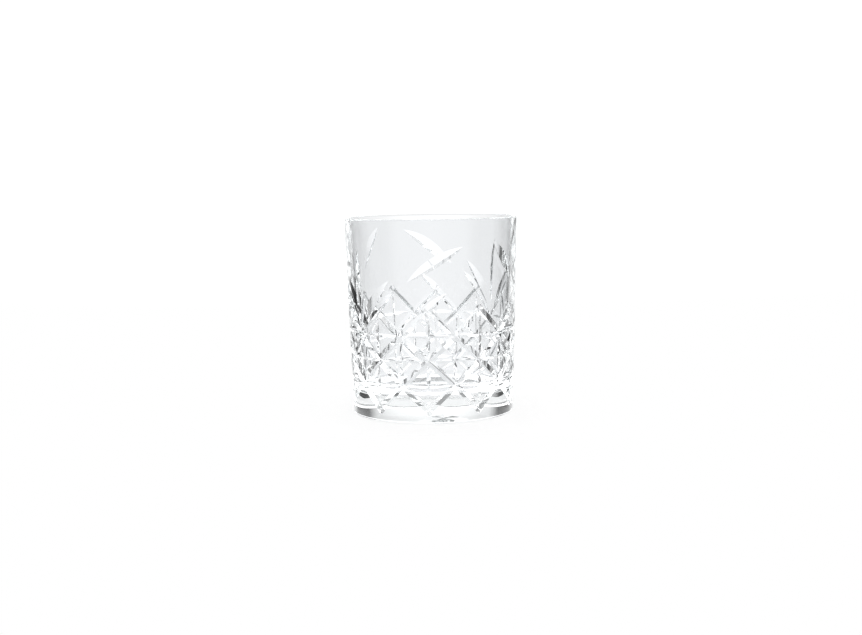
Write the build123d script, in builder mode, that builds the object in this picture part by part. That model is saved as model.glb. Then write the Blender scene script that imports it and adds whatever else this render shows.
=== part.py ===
from build123d import *
import os
from math import asin, atan2, copysign, cos, degrees, hypot, radians, sin

# A heavy tumbler of clear pressed glass: one piece, with a cut-crystal pattern moulded into
# the outside of its wall. +Z is up. The origin is the middle of the foot ring, on the table.
# Azimuths are in degrees from the front (-Y), positive towards +X, and lengths are in mm.
# A slope is the rise of a cut along the wall, in degrees: 0 is level and 90 is upright.

# ---- the glass itself ----
height = 96.0
rim_diameter = 85.0
base_diameter = 79.0            # the outer cone, carried down to the table
rim_wall = 2.2
rim_roundness = 0.9             # 1 would be a full half round
foot_wall = 5.6                 # wall thickness at the level of the inner floor
floor_thickness = 10.5
heel_radius = 0.8
bowl_corner_radius = 9.0
foot_ring_inner_diameter = 62.0
punt_depth = 0.3                # the shallow hollow under the base, inside the foot ring

# ---- the lattice of diagonal grooves ----
cells_around = 10
lattice_bottom = 6.4            # the lowest crossings
crossing_rise = 11.75           # from one row of crossings to the next
crossing_rows = 5
lattice_azimuth = -3.0          # of one crossing in the lowest row
groove_width = 3.2
groove_depth = 1.3
groove_overlap = 0.6            # how far each groove runs past the crossings at its ends

# ---- the star in each diamond: an upright cut and a level cut ----
star_arm_width = 1.9
star_arm_depth = 0.65
star_clearance = 1.0            # from an arm's tip to the crossing it points at

# ---- the leaves above the lattice, drawn once and repeated around the wall ----
panels_around = 2
leaf_width = 5.0
leaf_depth = 1.2
leaf_skew = 0.4                 # 0 has equal flanks; 1 would give the upper flank all the width

spur_width = 3.6
spur_length = 12.5              # grooves carried past the lattice's peaks, as half leaves
spur_overlap = 8.0              # how far a spur's leaf reaches back down its groove

fan_root_gap = 3.0              # from the fan's notch to the lower ends of its leaves
fan_blade_slope = 52.0
fan_blade_length = 30.0
fan_stem_rim_gap = 15.0         # from the upright leaf's tip to the rim

slash_azimuth = 2.5
slash_slope = 31.0
slash_length = 31.5
slash_rim_gap = 21.0            # from the middle of the long slanting leaf to the rim

sickle_azimuth = 54.0
sickle_slope = -52.0
sickle_length = 25.0
sickle_rim_gap = 20.5           # from the middle of the steep falling leaf to the rim

# ---- cutting tools ----
overshoot = 0.8                 # how far a tool stands out of the wall it cuts

base_radius = base_diameter / 2
rim_radius = rim_diameter / 2
foot_ring_radius = foot_ring_inner_diameter / 2
taper = degrees(atan2(rim_radius - base_radius, height))
front = -90.0                   # the front, as a polar angle about Z
cell_angle = 360 / cells_around
lattice_top = lattice_bottom + (crossing_rows - 1) * crossing_rise


def wall_radius(z):
    """Radius of the outer cone at height z."""
    return base_radius + (rim_radius - base_radius) * z / height


def arc_length(angle, z):
    """Distance around the wall, at height z, of an angle in degrees."""
    return radians(angle) * wall_radius(z)


def wall_plane(azimuth, z, slope):
    """Plane on the wall: x runs along a cut that rises by slope degrees, z points outwards."""
    around = radians(front + azimuth)
    outwards = Vector(cos(around), sin(around), 0)
    sideways = Vector(-sin(around), cos(around), 0)
    lean = radians(taper)
    upwards = outwards * sin(lean) + Vector(0, 0, cos(lean))
    normal = outwards * cos(lean) - Vector(0, 0, sin(lean))
    along = sideways * cos(radians(slope)) + upwards * sin(radians(slope))
    return Plane(origin=outwards * wall_radius(z) + Vector(0, 0, z), x_dir=along, z_dir=normal)


def wall_blade(azimuth, z, slope, length, width, depth, curvature, skew):
    """V-edged blade sunk depth into the wall, with its edge bent to a curvature (1/mm).

    The blade is an arc of a ring, or of a grinding wheel where the curvature is negative.
    The skew moves the V's mouth to one side of its edge: to the left of the cut's direction.
    """
    radius = 1 / curvature
    half_width = width / 2 * (depth + overshoot) / depth
    arc = 2 * degrees(asin(length / 2 / abs(radius)))
    pivot = Axis((0, 0, -depth - radius), (0, 1, 0))
    with BuildPart(mode=Mode.PRIVATE) as blade:
        with BuildSketch(Plane.YZ):
            with BuildLine():
                Polyline(
                    (-half_width * (1 - skew), overshoot),
                    (0, -depth),
                    (half_width * (1 + skew), overshoot),
                    close=True,
                )
            make_face()
        revolve(axis=pivot, revolution_arc=arc)
    centred = blade.part.rotate(pivot, -arc / 2)
    return centred.moved(wall_plane(azimuth, z, slope).location)


def wall_curvature(z, slope):
    """Curvature of the wall along a cut."""
    return cos(radians(slope)) ** 2 / wall_radius(z)


def leaf_cutter(azimuth, z, slope, length, width, depth, skew):
    """Blade whose cut is width wide in the middle and runs out to a point at each end."""
    curvature = wall_curvature(z, slope) - 2 * depth / (length / 2) ** 2
    reach = length + 2 * overshoot
    return wall_blade(azimuth, z, slope, reach, width, depth, curvature, skew)


def panel_leaf(azimuth, z, slope, length, width):
    """A leaf whose upper flank is the wide one; an upright leaf has equal flanks."""
    skew = 0 if slope == 90 else copysign(leaf_skew, cos(radians(slope)))
    return leaf_cutter(azimuth, z, slope, length, width, leaf_depth, skew)


def groove_cutter(azimuth, z, hand):
    """Blade that follows the wall at an even depth, from one crossing to the next one up."""
    rise = crossing_rise / 2
    sideways = arc_length(cell_angle / 4, z + rise)
    slope = degrees(atan2(rise, hand * sideways))
    length = 2 * hypot(rise, sideways) + 2 * groove_overlap
    middle = azimuth + hand * cell_angle / 4
    curvature = wall_curvature(z + rise, slope)
    return wall_blade(middle, z + rise, slope, length, groove_width, groove_depth, curvature, 0)


def leaf_from(azimuth, z, slope, start, length, width):
    """A leaf on the line through (azimuth, z), from start to start + length along that line."""
    middle = start + length / 2
    middle_z = z + middle * sin(radians(slope))
    turn = degrees(middle * cos(radians(slope)) / wall_radius((z + middle_z) / 2))
    return panel_leaf(azimuth + turn, middle_z, slope, length, width)


def star_cutters(slope):
    """One arm, upright or level, in each diamond of a cell around."""
    cutters = []
    for row in range(1, crossing_rows - 1):
        z = lattice_bottom + row * crossing_rise
        azimuth = lattice_azimuth + cell_angle / 2 * ((row + 1) % 2)
        reach = crossing_rise if slope == 90 else arc_length(cell_angle / 2, z)
        length = 2 * (reach - star_clearance)
        arm = leaf_cutter(azimuth, z, slope, length, star_arm_width, star_arm_depth, 0)
        cutters.append(arm)
    return cutters


def panel_cutters():
    """The leaves of one panel: two spurs and one mirrored, a fan of three, a slash, a sickle."""
    notch_azimuth = lattice_azimuth - 1.5 * cell_angle
    notch_z = lattice_top - crossing_rise
    groove_slope = degrees(atan2(crossing_rise, arc_length(cell_angle / 2, lattice_top)))
    spur = spur_overlap + spur_length
    stem = height - fan_stem_rim_gap - notch_z - fan_root_gap
    leaves = [
        panel_leaf(slash_azimuth, height - slash_rim_gap, slash_slope, slash_length, leaf_width),
        panel_leaf(sickle_azimuth, height - sickle_rim_gap, sickle_slope, sickle_length, leaf_width),
    ]
    for cells, slope in ((0, groove_slope), (1, groove_slope), (2, 180 - groove_slope)):
        peak = lattice_azimuth - cells * cell_angle
        leaves.append(leaf_from(peak, lattice_top, slope, -spur_overlap, spur, spur_width))
    for slope, length in (
        (fan_blade_slope, fan_blade_length),
        (180 - fan_blade_slope, fan_blade_length),
        (90, stem),
    ):
        leaves.append(leaf_from(notch_azimuth, notch_z, slope, fan_root_gap, length, leaf_width))
    return leaves


# Each group's cuts stay clear of one another, all the way round, so that they are made at once.
grooves = [
    groove_cutter(
        lattice_azimuth + cell_angle / 2 * (row % 2), lattice_bottom + row * crossing_rise, hand
    )
    for row in range(crossing_rows - 1)
    for hand in (1, -1)
]
stars = [star_cutters(90), star_cutters(0)]
leaves = panel_cutters()

with BuildPart() as tumbler:
    # the blank: foot ring, wall and bowl, turned about Z
    with BuildSketch(Plane.XZ) as profile:
        punt_middle = (foot_ring_radius / 2, punt_depth * 3 / 4)
        foot = (base_radius, 0)
        bowl_foot = (wall_radius(floor_thickness) - foot_wall, floor_thickness)
        with BuildLine():
            ThreePointArc((0, punt_depth), punt_middle, (foot_ring_radius, 0))
            Polyline(
                (foot_ring_radius, 0),
                foot,
                (rim_radius, height),
                (rim_radius - rim_wall, height),
                bowl_foot,
                (0, floor_thickness),
                (0, punt_depth),
            )
        make_face()
        fillet(profile.vertices().sort_by_distance(foot)[0], heel_radius)
        fillet(profile.vertices().sort_by_distance(bowl_foot)[0], bowl_corner_radius)
        fillet(profile.vertices().group_by(Axis.Y)[-1], rim_wall * rim_roundness / 2)
    revolve(axis=Axis.Z)
    for groove in grooves:
        with PolarLocations(0, cells_around):
            add(groove, mode=Mode.SUBTRACT)
    for arms in stars:
        with PolarLocations(0, cells_around):
            add(arms, mode=Mode.SUBTRACT)
    for leaf in leaves:
        with PolarLocations(0, panels_around):
            add(leaf, mode=Mode.SUBTRACT)

tumbler.part.label = "tumbler"
os.makedirs("parts", exist_ok=True)
export_step(tumbler.part, "parts/tumbler.step")
print("tumbler", tumbler.part.bounding_box(), "volume", round(tumbler.part.volume), "mm3")
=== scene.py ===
# %% [markdown]
# # A cut-crystal tumbler of pressed glass
# A heavy whisky tumbler is one piece of clear glass. A gob of molten glass is dropped into a
# steel mould and pressed with a plunger: the plunger makes the smooth bowl, and ridges on the
# inside of the mould leave V-shaped cuts in the outside of the wall. Afterwards a flame runs
# over the rim, which melts it round. So the model is made in the same order: a plain blank
# turned about its axis, then the cuts, then the glass itself, and at the end the studio.

from math import atan2, copysign, cos, degrees, hypot, pi, radians, sin

import bpy
from mathutils import Matrix, Vector


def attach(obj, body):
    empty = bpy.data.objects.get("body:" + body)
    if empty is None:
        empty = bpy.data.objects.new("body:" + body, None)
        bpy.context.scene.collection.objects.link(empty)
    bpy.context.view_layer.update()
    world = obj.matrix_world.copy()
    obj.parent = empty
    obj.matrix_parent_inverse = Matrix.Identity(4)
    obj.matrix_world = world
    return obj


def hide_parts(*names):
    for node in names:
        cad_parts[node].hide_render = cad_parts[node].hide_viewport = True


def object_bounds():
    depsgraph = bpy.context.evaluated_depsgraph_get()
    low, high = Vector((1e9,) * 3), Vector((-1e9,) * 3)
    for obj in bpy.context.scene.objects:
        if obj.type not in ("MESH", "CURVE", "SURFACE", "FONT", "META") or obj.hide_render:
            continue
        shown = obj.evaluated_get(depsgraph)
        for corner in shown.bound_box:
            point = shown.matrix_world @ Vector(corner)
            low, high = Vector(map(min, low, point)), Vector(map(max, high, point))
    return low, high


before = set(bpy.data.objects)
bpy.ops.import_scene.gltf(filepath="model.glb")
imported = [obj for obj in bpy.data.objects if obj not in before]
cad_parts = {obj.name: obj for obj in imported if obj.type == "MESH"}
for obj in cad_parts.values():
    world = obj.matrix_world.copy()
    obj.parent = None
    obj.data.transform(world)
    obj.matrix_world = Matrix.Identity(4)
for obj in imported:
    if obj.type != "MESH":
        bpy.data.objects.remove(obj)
cad_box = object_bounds()
low, high = (Vector(corner) for corner in cad_box)
print("CAD box", [round(value, 4) for value in (*low, *high)])

# %% [markdown]
# ## Sizes
# The height comes from the CAD part, so that the glass fits it exactly. The rest are the
# sizes that a glassmaker's drawing gives: the two radii, the walls, the rounded corners and the
# depth of the cuts. Blender works in metres, so every length in millimetres is multiplied by `MM`.

# %% Sizes of the blank
MM = 0.001
HEIGHT = high.z - low.z
RIM_RADIUS = 42.5 * MM
BASE_RADIUS = 39.5 * MM
RIM_WALL = 2.2 * MM
FOOT_WALL = 5.6 * MM
FLOOR = 10.5 * MM
HEEL_ROUND = 0.8 * MM
BOWL_ROUND = 9.0 * MM
FOOT_RING_RADIUS = 31.0 * MM
PUNT_DEPTH = 0.3 * MM
RIM_ROUND = RIM_WALL * 0.44     # a little less than a full half round
LEAN = (RIM_RADIUS - BASE_RADIUS) / HEIGHT


def wall_radius(z):
    """Radius of the outer cone at a height."""
    return BASE_RADIUS + LEAN * z


# %% [markdown]
# ## The profile
# A turned shape needs only half of its section. The corners are listed once, each with the
# radius that rounds it, and a short function replaces a corner by an arc that touches both of
# its sides. That is easier to change than a long list of points along the curves.

# %% Half section of the blank


def rounded(corners, steps):
    """Replace each (x, z, radius) corner by an arc; a radius of 0 leaves the corner sharp."""
    points = []
    for index, (x, z, radius) in enumerate(corners):
        corner = Vector((x, z))
        if radius == 0:
            points.append(corner)
            continue
        before = (Vector(corners[index - 1][:2]) - corner).normalized()
        after = (Vector(corners[index + 1][:2]) - corner).normalized()
        half = before.angle(after) / 2
        centre = corner + (before + after).normalized() * (radius / sin(half))
        start = corner + before * (radius / (sin(half) / cos(half))) - centre
        sweep = pi - 2 * half
        turn = 1 if before.cross(after) < 0 else -1
        for step in range(steps + 1):
            angle = turn * sweep * step / steps
            spoke = Vector((
                start.x * cos(angle) - start.y * sin(angle),
                start.x * sin(angle) + start.y * cos(angle),
            ))
            points.append(centre + spoke)
    return points


CORNER_STEPS = 10               # straight steps in each rounded corner
HOLLOW = ((0, 1), (0.45, 0.8), (0.8, 0.36), (1, 0))     # under the base: shares across, shares up

corners = [(FOOT_RING_RADIUS * across, PUNT_DEPTH * up, 0) for across, up in HOLLOW]
corners += [
    (BASE_RADIUS, 0, HEEL_ROUND),
    (RIM_RADIUS, HEIGHT, RIM_ROUND),
    (RIM_RADIUS - RIM_WALL, HEIGHT, RIM_ROUND),
    (wall_radius(FLOOR) - FOOT_WALL, FLOOR, BOWL_ROUND),
    (0, FLOOR, 0),
]
profile = rounded(corners, CORNER_STEPS)
print("profile points", len(profile))

# %% [markdown]
# ## One function for all nodes
# Geometry Nodes and shader nodes are both made with the same small function. It adds a node,
# sets its properties, and fills its sockets: a socket that is given gets a link, and anything
# else is a plain value. It returns one of the node's outputs, normally the first, which is
# usually what the next node needs.

# %% A helper that adds a node


def add(tree, kind, sockets=None, out=0, **settings):
    """Add a node to a tree, link or set its inputs, and return one of its outputs."""
    node = tree.nodes.new(kind)
    for name, value in settings.items():
        setattr(node, name, value)
    for key, value in (sockets or {}).items():
        socket = node.inputs[key]
        sources = value if isinstance(value, list) else [value]
        for source in sources:
            if isinstance(source, bpy.types.NodeSocket):
                tree.links.new(source, socket)
            else:
                socket.default_value = source
    return node.outputs[out] if node.outputs else node


def new_tree(name, inputs):
    """A geometry tree with one geometry output, and its named inputs as a dictionary."""
    tree = bpy.data.node_groups.new(name, "GeometryNodeTree")
    tree.interface.new_socket("Geometry", in_out="OUTPUT", socket_type="NodeSocketGeometry")
    for label, kind in inputs.items():
        tree.interface.new_socket(label, in_out="INPUT", socket_type="NodeSocket" + kind)
    node = add(tree, "NodeGroupInput").node
    return tree, {label: node.outputs[label] for label in inputs}


# %% [markdown]
# ## One cut
# Every cut is the same tool: a V-shaped bar. A cylinder with three sides is already such a bar,
# so the tree starts from that, and shapes it on a flat pattern, where x runs around the wall, y
# up the wall and z out of it. Only then is the pattern wrapped round the cone, as paper is
# wrapped round a cup. Straight lines on the flat pattern become even spirals on the glass, and
# a groove keeps its depth all the way along.
#
# A leaf is the same bar, bent up at both ends: with t from -1 to 1 along the bar, its edge
# rises by t squared times the depth, so the cut narrows to a point at both tips. A leaf may
# also be skewed, which makes one flank of its V wider than the other.
#
# The bending is plain arithmetic, one Math node for each step. The steps are listed as a
# table, because a long chain of nodes is easier to read that way: each line gives its result a
# name, and later lines use that name.

# %% The tree for one cut, repeated around the wall
CUT_SIZES = {
    "Azimuth": "Float",
    "Height": "Float",
    "Slope": "Float",
    "Length": "Float",
    "Width": "Float",
    "Depth": "Float",
    "Leaf": "Float",
    "Skew": "Float",
    "Steps": "Int",
    "Copies": "Int",
}
OVER = 1.06                     # a leaf's bar runs a little past both tips, above the wall
EDGE_HALF_WIDTH = sin(radians(60)) / 1.5     # of the three-sided bar, one unit above its edge

cut_tree, cut = new_tree("Cut", CUT_SIZES)
bar = add(
    cut_tree,
    "GeometryNodeMeshCylinder",
    {"Vertices": 3, "Side Segments": cut["Steps"], "Radius": 1.0, "Depth": 2.0},
    fill_type="TRIANGLE_FAN",
)
position = add(cut_tree, "GeometryNodeInputPosition")
place = add(cut_tree, "ShaderNodeSeparateXYZ", {"Vector": position}).node
named = {
    **cut,
    "into bar": place.outputs["X"],
    "across bar": place.outputs["Y"],
    "along bar": place.outputs["Z"],
    "copy": add(cut_tree, "GeometryNodeInputIndex"),
}

# %% The arithmetic of one cut
ARITHMETIC = (
    # the bar's own shape, still flat
    ("t", "MULTIPLY", "along bar", OVER),
    ("t squared", "MULTIPLY", "t", "t"),
    ("edge rise", "MULTIPLY", "t squared", "Leaf"),
    ("above edge", "SUBTRACT", "edge rise", "into bar"),
    ("out of wall", "MULTIPLY", "above edge", "Depth"),
    ("half length", "MULTIPLY", "Length", 0.5),
    ("lengthways", "MULTIPLY", "t", "half length"),
    ("side", "SIGN", "across bar", 0.0),
    ("wider by", "MULTIPLY", "side", "Skew"),
    ("flank", "ADD", "wider by", 1.0),
    ("skewed", "MULTIPLY", "across bar", "flank"),
    ("half width", "MULTIPLY", "Width", 0.5 / EDGE_HALF_WIDTH),
    ("sideways", "MULTIPLY", "skewed", "half width"),
    # turned to its slope
    ("slope cosine", "COSINE", "Slope", 0.0),
    ("slope sine", "SINE", "Slope", 0.0),
    ("length around", "MULTIPLY", "lengthways", "slope cosine"),
    ("width around", "MULTIPLY", "sideways", "slope sine"),
    ("around", "SUBTRACT", "length around", "width around"),
    ("length up", "MULTIPLY", "lengthways", "slope sine"),
    ("width up", "MULTIPLY", "sideways", "slope cosine"),
    ("upwards", "ADD", "length up", "width up"),
    # wrapped round the cone: the front of the glass is -Y
    ("middle lean", "MULTIPLY", "Height", LEAN),
    ("middle radius", "ADD", "middle lean", BASE_RADIUS),
    ("angle around", "DIVIDE", "around", "middle radius"),
    ("angle", "ADD", "angle around", "Azimuth"),
    ("level", "ADD", "upwards", "Height"),
    ("level lean", "MULTIPLY", "level", LEAN),
    ("wall", "ADD", "level lean", BASE_RADIUS),
    ("radius", "ADD", "wall", "out of wall"),
    ("angle sine", "SINE", "angle", 0.0),
    ("x", "MULTIPLY", "radius", "angle sine"),
    ("angle cosine", "COSINE", "angle", 0.0),
    ("towards front", "MULTIPLY", "radius", "angle cosine"),
    ("y", "MULTIPLY", "towards front", -1.0),
    # how far each copy is turned about the axis
    ("spacing", "DIVIDE", 2 * pi, "Copies"),
    ("copy turn", "MULTIPLY", "spacing", "copy"),
)
for name, operation, first, second in ARITHMETIC:
    pair = {0: named.get(first, first), 1: named.get(second, second)}
    named[name] = add(cut_tree, "ShaderNodeMath", pair, operation=operation)
print("steps of arithmetic", len(ARITHMETIC))

# %% Shape the bar and repeat it
wrapped = add(
    cut_tree,
    "ShaderNodeCombineXYZ",
    {"X": named["x"], "Y": named["y"], "Z": named["level"]},
)
shaped = add(cut_tree, "GeometryNodeSetPosition", {"Geometry": bar, "Position": wrapped})

# the copies around the wall, each an instance, so that the boolean takes them one by one
spin = add(cut_tree, "ShaderNodeCombineXYZ", {"Z": named["copy turn"]})
centres = add(cut_tree, "GeometryNodePoints", {"Count": cut["Copies"]})
copies = add(
    cut_tree,
    "GeometryNodeInstanceOnPoints",
    {"Points": centres, "Instance": shaped, "Rotation": spin},
)
add(cut_tree, "NodeGroupOutput", {"Geometry": copies})

# %% [markdown]
# ## The pattern
# Cut crystal is drawn on a grid. Ten lines of each hand cross to make a lattice of diamonds,
# with a star of two fine cuts in every diamond. Above it, the maker has let a few blades grow
# out of the lattice like grass: three spurs, a fan of three, a long slash, a steep sickle.
# That upper part is drawn once and repeated on the other side of the glass.
#
# Each cut is one line of sizes here: azimuth in degrees from the front, height above the table,
# slope in degrees, then length, width and depth in millimetres. The lengths in these cells stay
# in millimetres, as on a drawing, and `add_cut` turns them to metres.

# %% The cuts, as a list of sizes
CELLS = 10
CELL = 360 / CELLS
LATTICE_AZIMUTH = -3.0
LATTICE_BOTTOM = 6.4
RISE = 11.75
ROWS = 5
LATTICE_TOP = LATTICE_BOTTOM + RISE * (ROWS - 1)
PANELS = 2
LEAF = (5.0, 1.2)               # width and depth
SPUR = (3.6, 1.2)
GROOVE = (3.2, 1.3)
ARM = (1.9, 0.65)
LEAF_SKEW = 0.4                 # the upper flank is wider by this share, the lower one narrower
ARM_CLEARANCE = 1.0             # from an arm's tip to the crossing it points at
LEAF_STEPS = 40                 # straight steps from one end of a cut to the other
GROOVE_STEPS = 90
ARM_STEPS = 24

cuts = []


def add_cut(azimuth, z, slope, length, size, leaf, copies, steps, skew=0.0):
    """Note one cut; azimuth and z are those of its middle."""
    cuts.append({
        "Azimuth": radians(azimuth),
        "Height": z * MM,
        "Slope": radians(slope),
        "Length": length * MM,
        "Width": size[0] * MM,
        "Depth": size[1] * MM,
        "Leaf": leaf,
        "Skew": skew,
        "Steps": steps,
        "Copies": copies,
    })


def arc_mm(angle, z):
    """Distance around the wall at a height, in millimetres."""
    return radians(angle) * wall_radius(z * MM) / MM


def add_leaf(azimuth, z, slope, length, size=LEAF):
    """Note one of the large leaves, with its upper flank wider than the lower one."""
    skew = 0.0 if slope == 90 else copysign(LEAF_SKEW, cos(radians(slope)))
    add_cut(azimuth, z, slope, length, size, 1.0, PANELS, LEAF_STEPS, skew)


def add_leaf_from(azimuth, z, slope, start, length, size=LEAF):
    """A leaf on the line through (azimuth, z), from start to start + length along that line."""
    middle = start + length / 2
    middle_z = z + middle * sin(radians(slope))
    turn = degrees(middle * cos(radians(slope)) / (wall_radius((z + middle_z) / 2 * MM) / MM))
    add_leaf(azimuth + turn, middle_z, slope, length, size)


# %% The lattice: one long groove of each hand for every cell
middle_z = (LATTICE_BOTTOM + LATTICE_TOP) / 2
half_turn = CELL / 2 * (ROWS - 1) / 2
run = arc_mm(half_turn, middle_z)
lift = (LATTICE_TOP - LATTICE_BOTTOM) / 2
for hand in (1, -1):
    azimuth = LATTICE_AZIMUTH + hand * half_turn
    slope = degrees(atan2(lift, hand * run))
    add_cut(azimuth, middle_z, slope, 2 * hypot(run, lift), GROOVE, 0.0, CELLS, GROOVE_STEPS)

# %% The stars: an upright and a level arm in each diamond
for row in range(1, ROWS - 1):
    z = LATTICE_BOTTOM + row * RISE
    azimuth = LATTICE_AZIMUTH + CELL / 2 * ((row + 1) % 2)
    for slope, reach in ((90, RISE), (0, arc_mm(CELL / 2, z))):
        add_cut(azimuth, z, slope, 2 * (reach - ARM_CLEARANCE), ARM, 1.0, CELLS, ARM_STEPS)

# %% The leaves above the lattice
SPUR_LENGTH = 12.5              # above the peak that it grows from
SPUR_OVERLAP = 8.0              # how far it reaches back down its groove
FAN_ROOT_GAP = 3.0              # from the fan's notch to the lower ends of its leaves
FAN_SLOPE = 52
FAN_LENGTH = 30.0
FAN_STEM_RIM_GAP = 15.0         # from the upright leaf's tip to the rim
SLASH_AZIMUTH = 2.5
SLASH_RIM_GAP = 21.0            # from a leaf's middle to the rim
SLASH_SLOPE = 31
SLASH_LENGTH = 31.5
SICKLE_AZIMUTH = 54
SICKLE_RIM_GAP = 20.5
SICKLE_SLOPE = -52
SICKLE_LENGTH = 25.0

top = HEIGHT / MM
groove_slope = degrees(atan2(RISE, arc_mm(CELL / 2, LATTICE_TOP)))
for cells, slope in ((0, groove_slope), (1, groove_slope), (2, 180 - groove_slope)):
    peak = LATTICE_AZIMUTH - cells * CELL
    add_leaf_from(peak, LATTICE_TOP, slope, -SPUR_OVERLAP, SPUR_OVERLAP + SPUR_LENGTH, SPUR)
notch = LATTICE_AZIMUTH - 1.5 * CELL
notch_z = LATTICE_TOP - RISE
stem = top - FAN_STEM_RIM_GAP - notch_z - FAN_ROOT_GAP
for slope, length in ((FAN_SLOPE, FAN_LENGTH), (180 - FAN_SLOPE, FAN_LENGTH), (90, stem)):
    add_leaf_from(notch, notch_z, slope, FAN_ROOT_GAP, length)
add_leaf(SLASH_AZIMUTH, top - SLASH_RIM_GAP, SLASH_SLOPE, SLASH_LENGTH)
add_leaf(SICKLE_AZIMUTH, top - SICKLE_RIM_GAP, SICKLE_SLOPE, SICKLE_LENGTH)
print("kinds of cut", len(cuts), "cuts", sum(one["Copies"] for one in cuts))

# %% [markdown]
# ## The blank and its cuts
# The profile is a chain of edges. Curve to Mesh sweeps it round a circle, which is what a lathe
# does, and Merge by Distance closes the two points on the axis. A Mesh Boolean then takes every
# cut away at once. Smooth shading hides the lathe's facets, and an edge that turns by more than
# the sharp angle is kept sharp, so that each cut has its crisp edge.

# %% The tree for the whole tumbler
AROUND = 600                    # straight steps round the lathe's circle
SHARP = radians(14)
CLOSE = 1e-6                    # metres between points that count as one

tumbler_tree, made = new_tree(
    "Tumbler", {"Profile": "Geometry", "Around": "Int", "Sharp angle": "Float", "Glass": "Material"}
)
outline = add(tumbler_tree, "GeometryNodeMeshToCurve", {"Mesh": made["Profile"]})
# the sweep hangs the profile from the circle, head down and with x from there outwards
hung = add(
    tumbler_tree,
    "GeometryNodeTransform",
    {"Geometry": outline, "Translation": (-RIM_RADIUS, 0, 0), "Rotation": (pi, 0, 0)},
)
lathe = add(
    tumbler_tree,
    "GeometryNodeCurvePrimitiveCircle",
    {"Resolution": made["Around"], "Radius": RIM_RADIUS},
)
turned = add(tumbler_tree, "GeometryNodeCurveToMesh", {"Curve": lathe, "Profile Curve": hung})
outwards = add(tumbler_tree, "GeometryNodeFlipFaces", {"Mesh": turned})
blank = add(tumbler_tree, "GeometryNodeMergeByDistance", {"Geometry": outwards, "Distance": CLOSE})
tools = [add(tumbler_tree, "GeometryNodeGroup", one, node_tree=cut_tree) for one in cuts]
all_tools = add(tumbler_tree, "GeometryNodeJoinGeometry", {"Geometry": tools})
cut_glass = add(
    tumbler_tree,
    "GeometryNodeMeshBoolean",
    {"Mesh 1": blank, "Mesh 2": all_tools},
    operation="DIFFERENCE",
    solver="MANIFOLD",
)
edge_angle = add(tumbler_tree, "GeometryNodeInputMeshEdgeAngle")
is_smooth = add(
    tumbler_tree,
    "FunctionNodeCompare",
    {"A": edge_angle, "B": made["Sharp angle"]},
    operation="LESS_THAN",
)
shaded = add(
    tumbler_tree,
    "GeometryNodeSetShadeSmooth",
    {"Geometry": cut_glass, "Shade Smooth": is_smooth},
    domain="EDGE",
)
real = add(tumbler_tree, "GeometryNodeRealizeInstances", {"Geometry": shaded})
glazed = add(
    tumbler_tree, "GeometryNodeSetMaterial", {"Geometry": real, "Material": made["Glass"]}
)
add(tumbler_tree, "NodeGroupOutput", {"Geometry": glazed})

# %% [markdown]
# ## Pressed glass
# Tumblers like this are soda-lime glass, which bends light with an index of 1.52. It is almost
# colourless: a trace of iron gives thick parts a faint cool green, which an absorption inside
# the volume shows better than a painted surface. The plunger and the mould leave the surface
# very slightly wavy, and the flame smooths it to a gloss, so the roughness is zero and a low,
# broad bump bends the reflections a little.

# %% The glass material


def linear(hex_colour):
    """An sRGB hex colour as linear RGBA."""
    values = [int(hex_colour[index:index + 2], 16) / 255 for index in (0, 2, 4)]
    curve = (
        value / 12.92 if value <= 0.04045 else ((value + 0.055) / 1.055) ** 2.4 for value in values
    )
    return (*curve, 1.0)


GLASS_IOR = 1.52
WAVE_SIZE = 14 * MM             # the plunger's waviness, from crest to crest
WAVE_HEIGHT = 0.012 * MM

glass = bpy.data.materials.new("pressed_soda_lime_glass")
glass.use_nodes = True
nodes = glass.node_tree
nodes.nodes.clear()
coordinates = add(nodes, "ShaderNodeTexCoord", out="Object")
waves = add(
    nodes,
    "ShaderNodeTexNoise",
    {"Vector": coordinates, "Scale": 1 / WAVE_SIZE, "Detail": 1.0, "Roughness": 0.4},
)
bump = add(nodes, "ShaderNodeBump", {"Height": waves, "Distance": WAVE_HEIGHT, "Strength": 1.0})
surface = add(
    nodes,
    "ShaderNodeBsdfPrincipled",
    {
        "Base Color": linear("FDFEFF"),
        "Roughness": 0.0,
        "IOR": GLASS_IOR,
        "Transmission Weight": 1.0,
        "Normal": bump,
    },
)
inside = add(nodes, "ShaderNodeVolumeAbsorption", {"Color": linear("E4EEEC"), "Density": 2.0})
add(nodes, "ShaderNodeOutputMaterial", {"Surface": surface, "Volume": inside})

# %% [markdown]
# ## From the tree to a mesh
# The tree runs as a modifier on the chain of edges. Its inputs are set before Blender evaluates
# the object for the first time, and then the result is kept as an ordinary mesh, which is what
# an export needs. The chain has done its work and is removed.

# %% Cut the tumbler and keep a plain mesh
chain = bpy.data.meshes.new("profile")
chain.from_pydata(
    [(point.x, point.y, 0) for point in profile],
    [(index, index + 1) for index in range(len(profile) - 1)],
    [],
)
maker = bpy.data.objects.new("tumbler_maker", chain)
bpy.context.collection.objects.link(maker)
modifier = maker.modifiers.new("Tumbler", "NODES")
modifier.node_group = tumbler_tree
sockets = {item.name: item.identifier for item in tumbler_tree.interface.items_tree}
for label, value in {"Around": AROUND, "Sharp angle": SHARP, "Glass": glass}.items():
    modifier[sockets[label]] = value
evaluated = maker.evaluated_get(bpy.context.evaluated_depsgraph_get())
tumbler = bpy.data.objects.new("cut_tumbler", bpy.data.meshes.new_from_object(evaluated))
bpy.context.collection.objects.link(tumbler)
bpy.data.objects.remove(maker)
print("tumbler faces", len(tumbler.data.polygons))

# %% [markdown]
# ## Its place in the part
# The finished mesh takes the place of the one plain CAD solid. It rides on the only body there
# is, and the whole of it is one finish: glass.

# %% Tell the frame what it stands for
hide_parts("tumbler")
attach(tumbler, "root")

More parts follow.
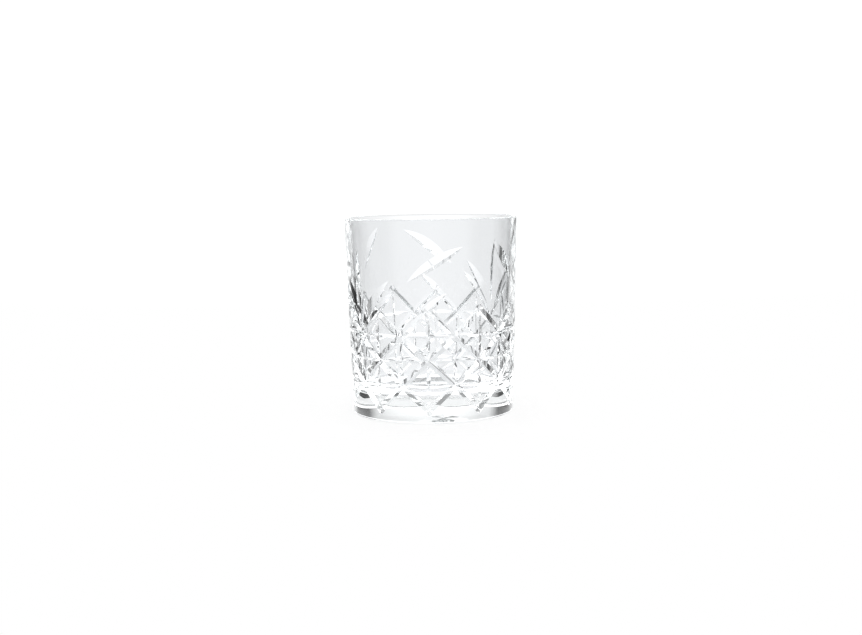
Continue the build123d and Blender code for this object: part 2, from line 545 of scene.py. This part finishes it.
# %% [markdown]
# ## The studio
# Clear glass has no colour of its own: it shows its surroundings, bent. The plain wall looks a
# little downwards, at the table behind the glass. The cuts look elsewhere: those near the
# middle find the backdrop, which is brighter than the table, and turn white. Those near the
# sides find one of the two black cards that stand to the left and the right, and turn dark.
# If the surroundings were white all round, the same glass would be almost invisible. The room
# behind the camera is pale too, so that the wall is also clear when seen from the back.

# %% The sheet of paper under the glass
PAPER_SIZE = 0.13
PAPER_GLOW = 0.66               # the sheet's own light; what falls on it from the room adds the rest

half = PAPER_SIZE / 2
sheet = bpy.data.meshes.new("paper_sheet")
sheet.from_pydata(
    [(-half, -half, 0), (half, -half, 0), (half, half, 0), (-half, half, 0)], [], [(0, 1, 2, 3)]
)
floor = bpy.data.objects.new("paper_sheet", sheet)
bpy.context.collection.objects.link(floor)
paper = bpy.data.materials.new("lit_white_paper")
paper.use_nodes = True
paper.node_tree.nodes.clear()
paper_surface = add(
    paper.node_tree,
    "ShaderNodeBsdfPrincipled",
    {
        "Base Color": linear("F4F4F4"),
        "Roughness": 0.9,
        "Specular IOR Level": 0.0,
        "Emission Color": linear("FFFFFF"),
        "Emission Strength": PAPER_GLOW,
    },
)
add(paper.node_tree, "ShaderNodeOutputMaterial", {"Surface": paper_surface})
floor.data.materials.append(paper)

# %% [markdown]
# Everything beyond the sheet is a world shader that depends on the direction. It starts from the
# ground close to the glass, and three layers are mixed over that by height: the table, then the
# backdrop, and the light overhead. Each layer is a colour ramp from straight behind the glass,
# round either side, to the camera. What the camera sees directly, past the paper's edges, is
# plain white, so every view of the glass has the same background. The glass itself doesn't see
# that white: it sees the room as it is.

# %% The room around it
GROUND = 0.85                   # the table close to the glass
SIDES = {                       # degrees from straight behind the glass: brightness
    42: 0.05,                   # the black card
    64: 0.02,
    74: 0.45,
    112: 0.32,
    130: 0.72,                  # the pale room behind the camera
    180: 0.78,
}
TABLE = {0: 0.96, 30: 0.90, **SIDES}
BACKDROP = {0: 1.22, 8: 1.15, 20: 1.02, 32: 0.85, **SIDES}
OVERHEAD = {0: 0.40, 180: 0.40}
LAYERS = (                      # heights in degrees over which a layer fades in, and the layer
    ((-30, -22), TABLE),
    ((-6.5, -4.5), BACKDROP),
    ((9, 19), OVERHEAD),
)

world = bpy.data.worlds.new("studio")
bpy.context.scene.world = world
world.use_nodes = True
sky = world.node_tree
sky.nodes.clear()
outlook = add(sky, "ShaderNodeTexCoord", out="Generated")
direction = add(sky, "ShaderNodeSeparateXYZ", {"Vector": outlook}).node.outputs
bearing = add(
    sky, "ShaderNodeMath", {0: direction["X"], 1: direction["Y"]}, operation="ARCTAN2"
)
aside = add(sky, "ShaderNodeMath", {0: bearing}, operation="ABSOLUTE")
aside_share = add(sky, "ShaderNodeMath", {0: aside, 1: pi}, operation="DIVIDE")
elevation = add(sky, "ShaderNodeMath", {0: direction["Z"]}, operation="ARCSINE")

# %% Mix the layers by height
room = GROUND
for (faint, full), levels in LAYERS:
    layer = add(sky, "ShaderNodeValToRGB", {"Fac": aside_share})
    stops = layer.node.color_ramp.elements
    while len(stops) < len(levels):
        stops.new(1.0)
    for stop, (degrees_aside, brightness) in zip(stops, levels.items()):
        stop.position = degrees_aside / 180
        stop.color = (brightness, brightness, brightness, 1)
    share = add(
        sky,
        "ShaderNodeMapRange",
        {"Value": elevation, "From Min": radians(faint), "From Max": radians(full)},
        interpolation_type="SMOOTHSTEP",
    )
    room = add(sky, "ShaderNodeMix", {"Factor": share, "A": room, "B": layer}, data_type="FLOAT")
seen = add(sky, "ShaderNodeLightPath", out="Is Camera Ray")
strength = add(sky, "ShaderNodeMath", {0: room, 1: seen}, operation="MAXIMUM")
lamp = add(sky, "ShaderNodeBackground", {"Color": linear("FFFFFF"), "Strength": strength})
add(sky, "ShaderNodeOutputWorld", {"Surface": lamp})
print("layers of the room", len(LAYERS) + 1)

# %% [markdown]
# ## The camera
# It stands about 60 cm in front of the glass, a little above the rim, and looks slightly down,
# so that the rim is a narrow ellipse and the inside of the bowl just shows.

# %% Camera
LENS = 52.8                     # millimetres
SENSOR = 36                     # millimetres wide
CAMERA_PLACE = (-0.00054, -0.623, 0.1165)
LOOK_DOWN = 6.46                # degrees below level
ROLL = -0.86                    # degrees about its own line of sight

camera_data = bpy.data.cameras.new("camera")
camera_data.lens = LENS
camera_data.sensor_width = SENSOR
camera = bpy.data.objects.new("camera", camera_data)
bpy.context.collection.objects.link(camera)
camera.location = CAMERA_PLACE
look = Matrix.Rotation(radians(90 - LOOK_DOWN), 4, "X") @ Matrix.Rotation(radians(ROLL), 4, "Z")
camera.rotation_euler = look.to_euler()
bpy.context.scene.camera = camera
print("camera height over the rim, mm", round((CAMERA_PLACE[2] - HEIGHT) / MM, 1))

# %% [markdown]
# ## Light through glass
# A ray that enters cut glass is bent and mirrored many times before it leaves. If it is stopped
# too early, the place where it was stopped turns black, so the limits are set high.

# %% Light paths and view
scene = bpy.context.scene
scene.view_settings.view_transform = "Standard"
scene.cycles.max_bounces = 32
scene.cycles.transmission_bounces = 32
scene.cycles.glossy_bounces = 16
scene.cycles.diffuse_bounces = 4
scene.cycles.caustics_refractive = True
scene.cycles.caustics_reflective = True
